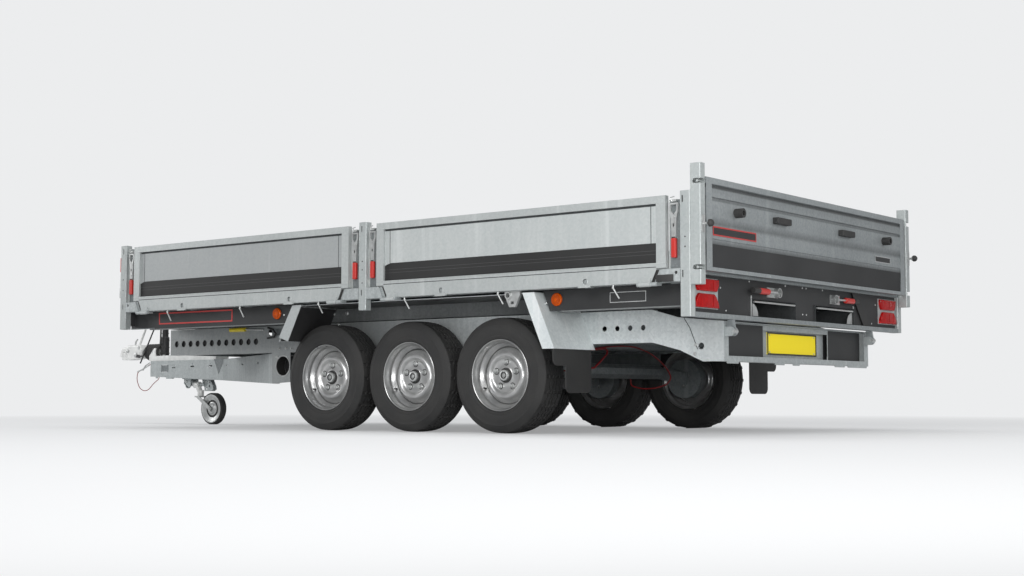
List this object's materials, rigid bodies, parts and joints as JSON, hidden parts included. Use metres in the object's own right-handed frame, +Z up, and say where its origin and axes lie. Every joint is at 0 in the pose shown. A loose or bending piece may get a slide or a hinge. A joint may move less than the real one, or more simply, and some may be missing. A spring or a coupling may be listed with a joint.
{
  "type": "tri-axle tipping trailer",
  "caption": "Galvanised tipping trailer with drop sides, a swinging tailgate, ramp bays under the bed, a folded drawbar with a ball coupling, and a telescopic ram that raises the bed",
  "frame": {"origin": "on the ground, midway along and across the trailer", "axes": "X forward to the coupling, Y to the trailer's left, Z up"},
  "size_m": [5.6279, 2.284, 1.236],
  "materials": {
    "galvanised": "hot-dip galvanised steel, matt grey spangle",
    "floor_plate": "worn steel sheet",
    "dark_panel": "anthracite painted sheet, satin",
    "black_paint": "black painted steel",
    "chrome_rod": "hard-chromed tube",
    "rubber": "black rubber",
    "red_grip": "red dipped plastic grip",
    "red_lamp": "red lamp lens",
    "amber_lamp": "amber lens",
    "yellow_plate": "yellow reflective plate, blank",
    "small_tyre": "solid rubber tyre on a pressed disc",
    "wheel_silver": "silver-painted pressed steel",
    "red_cable": "red plastic cable sheath",
    "tyre": "black rubber"
  },
  "bodies": {
    "chassis": {"chassis_rails": "galvanised", "chassis_crossmembers": "galvanised", "drawbar": "galvanised", "rear_frame": "galvanised", "number_plate": "yellow_plate", "axles": "galvanised", "mudguards": "galvanised", "mudflaps": "rubber", "coupling_head": "galvanised", "coupling_gaiter": "rubber", "drawshaft_housing": "galvanised", "handbrake_lever": "galvanised", "tipping_pump": "black_paint", "jockey_bracket": "galvanised", "ram_cradle": "galvanised", "brake_cables": "red_cable", "breakaway_cable": "red_cable"},
    "bed": {"bed_floor": "floor_plate", "bed_subframe": "galvanised", "bed_crossmembers": "galvanised", "bed_rear_frame": "galvanised", "bed_side_rails": "galvanised", "panel_hinges": "galvanised", "bed_posts": "galvanised", "tailgate_posts": "galvanised", "skirts": "dark_panel", "rear_sheet": "dark_panel", "ramp_trays": "galvanised", "tail_lamps": "red_lamp", "marker_lamps": "amber_lamp", "lashing_fittings": "galvanised", "latches": "galvanised", "latch_grips": "red_grip"},
    "drop_side_left_front": {"drop_side_left_front": "galvanised"},
    "drop_side_left_rear": {"drop_side_left_rear": "galvanised"},
    "drop_side_right_front": {"drop_side_right_front": "galvanised"},
    "drop_side_right_rear": {"drop_side_right_rear": "galvanised"},
    "headboard": {"headboard": "galvanised"},
    "tailgate": {"tailgate": "galvanised", "tailgate_buffers": "rubber"},
    "jockey_arm": {"jockey_arm": "galvanised"},
    "jockey_fork": {"jockey_fork": "galvanised"},
    "jockey_wheel": {"jockey_wheel": "small_tyre"},
    "ram_cylinder": {"ram_cylinder": "black_paint"},
    "ram_stage_1": {"ram_stage_1": "chrome_rod"},
    "ram_stage_2": {"ram_stage_2": "chrome_rod"},
    "ram_stage_3": {"ram_stage_3": "chrome_rod"},
    "ram_stage_4": {"ram_stage_4": "chrome_rod"},
    "wheel_left_rear": {"rim_left_rear": "wheel_silver", "tyre_left_rear": "tyre"},
    "wheel_left_middle": {"rim_left_middle": "wheel_silver", "tyre_left_middle": "tyre"},
    "wheel_left_front": {"rim_left_front": "wheel_silver", "tyre_left_front": "tyre"},
    "wheel_right_rear": {"rim_right_rear": "wheel_silver", "tyre_right_rear": "tyre"},
    "wheel_right_middle": {"rim_right_middle": "wheel_silver", "tyre_right_middle": "tyre"},
    "wheel_right_front": {"rim_right_front": "wheel_silver", "tyre_right_front": "tyre"}
  },
  "joints": [
    {"name": "bed_tip", "type": "hinge", "parent": "chassis", "child": "bed", "pos_m": [-2.692, 0, 0.49], "axis": [0, -1, 0], "range_deg": [0, 45]},
    {"name": "drop_side_left_front_hinge", "type": "hinge", "parent": "bed", "child": "drop_side_left_front", "pos_m": [0.3515, 1.131, 0.696], "axis": [-1, 0, 0], "range_deg": [0, 180]},
    {"name": "drop_side_left_rear_hinge", "type": "hinge", "parent": "bed", "child": "drop_side_left_rear", "pos_m": [-1.6715, 1.131, 0.696], "axis": [-1, 0, 0], "range_deg": [0, 180]},
    {"name": "drop_side_right_front_hinge", "type": "hinge", "parent": "bed", "child": "drop_side_right_front", "pos_m": [0.3515, -1.131, 0.696], "axis": [1, 0, 0], "range_deg": [0, 180]},
    {"name": "drop_side_right_rear_hinge", "type": "hinge", "parent": "bed", "child": "drop_side_right_rear", "pos_m": [-1.6715, -1.131, 0.696], "axis": [1, 0, 0], "range_deg": [0, 180]},
    {"name": "headboard_hinge", "type": "hinge", "parent": "bed", "child": "headboard", "pos_m": [1.408, 0, 0.757], "axis": [0, 1, 0], "range_deg": [0, 150]},
    {"name": "tailgate_hinge", "type": "hinge", "parent": "bed", "child": "tailgate", "pos_m": [-2.74, 0, 1.154], "axis": [0, 1, 0], "range_deg": [0, 100]},
    {"name": "jockey_swing", "type": "hinge", "parent": "chassis", "child": "jockey_arm", "pos_m": [2.001, 0, 0.272], "axis": [1, 0, 0], "range_deg": [0, 90]},
    {"name": "jockey_swivel", "type": "hinge", "parent": "jockey_arm", "child": "jockey_fork", "pos_m": [1.964, 0, 0.19], "axis": [0, 0, 1], "continuous": true},
    {"name": "jockey_spin", "type": "hinge", "parent": "jockey_fork", "child": "jockey_wheel", "pos_m": [1.826, 0, 0.108], "axis": [0, 1, 0], "continuous": true},
    {"name": "ram_tilt", "type": "hinge", "parent": "chassis", "child": "ram_cylinder", "pos_m": [-1.13987, 0, 0.27], "axis": [0, -1, 0], "range_deg": [0, 22.5]},
    {"name": "ram_slide_1", "type": "slide", "parent": "ram_cylinder", "child": "ram_stage_1", "axis": [0, 0, 1], "range_m": [0, 0.2901]},
    {"name": "ram_slide_2", "type": "slide", "parent": "ram_stage_1", "child": "ram_stage_2", "axis": [0, 0, 1], "range_m": [0, 0.2901]},
    {"name": "ram_slide_3", "type": "slide", "parent": "ram_stage_2", "child": "ram_stage_3", "axis": [0, 0, 1], "range_m": [0, 0.2901]},
    {"name": "ram_slide_4", "type": "slide", "parent": "ram_stage_3", "child": "ram_stage_4", "axis": [0, 0, 1], "range_m": [0, 0.2901]},
    {"name": "wheel_left_rear_spin", "type": "hinge", "parent": "chassis", "child": "wheel_left_rear", "pos_m": [-1.483, 0.893, 0.294], "axis": [0, 1, 0], "continuous": true},
    {"name": "wheel_left_middle_spin", "type": "hinge", "parent": "chassis", "child": "wheel_left_middle", "pos_m": [-0.865, 0.893, 0.294], "axis": [0, 1, 0], "continuous": true},
    {"name": "wheel_left_front_spin", "type": "hinge", "parent": "chassis", "child": "wheel_left_front", "pos_m": [-0.244, 0.893, 0.294], "axis": [0, 1, 0], "continuous": true},
    {"name": "wheel_right_rear_spin", "type": "hinge", "parent": "chassis", "child": "wheel_right_rear", "pos_m": [-1.483, -0.893, 0.294], "axis": [0, 1, 0], "continuous": true},
    {"name": "wheel_right_middle_spin", "type": "hinge", "parent": "chassis", "child": "wheel_right_middle", "pos_m": [-0.865, -0.893, 0.294], "axis": [0, 1, 0], "continuous": true},
    {"name": "wheel_right_front_spin", "type": "hinge", "parent": "chassis", "child": "wheel_right_front", "pos_m": [-0.244, -0.893, 0.294], "axis": [0, 1, 0], "continuous": true}
  ],
  "couplings": [
    {"joint": "ram_tilt", "follows": "bed_tip", "ratio": 0.48491},
    {"joint": "ram_slide_1", "follows": "bed_tip", "m_per_rad": 0.36867},
    {"joint": "ram_slide_2", "follows": "bed_tip", "m_per_rad": 0.36867},
    {"joint": "ram_slide_3", "follows": "bed_tip", "m_per_rad": 0.36867},
    {"joint": "ram_slide_4", "follows": "bed_tip", "m_per_rad": 0.36867}
  ]
}
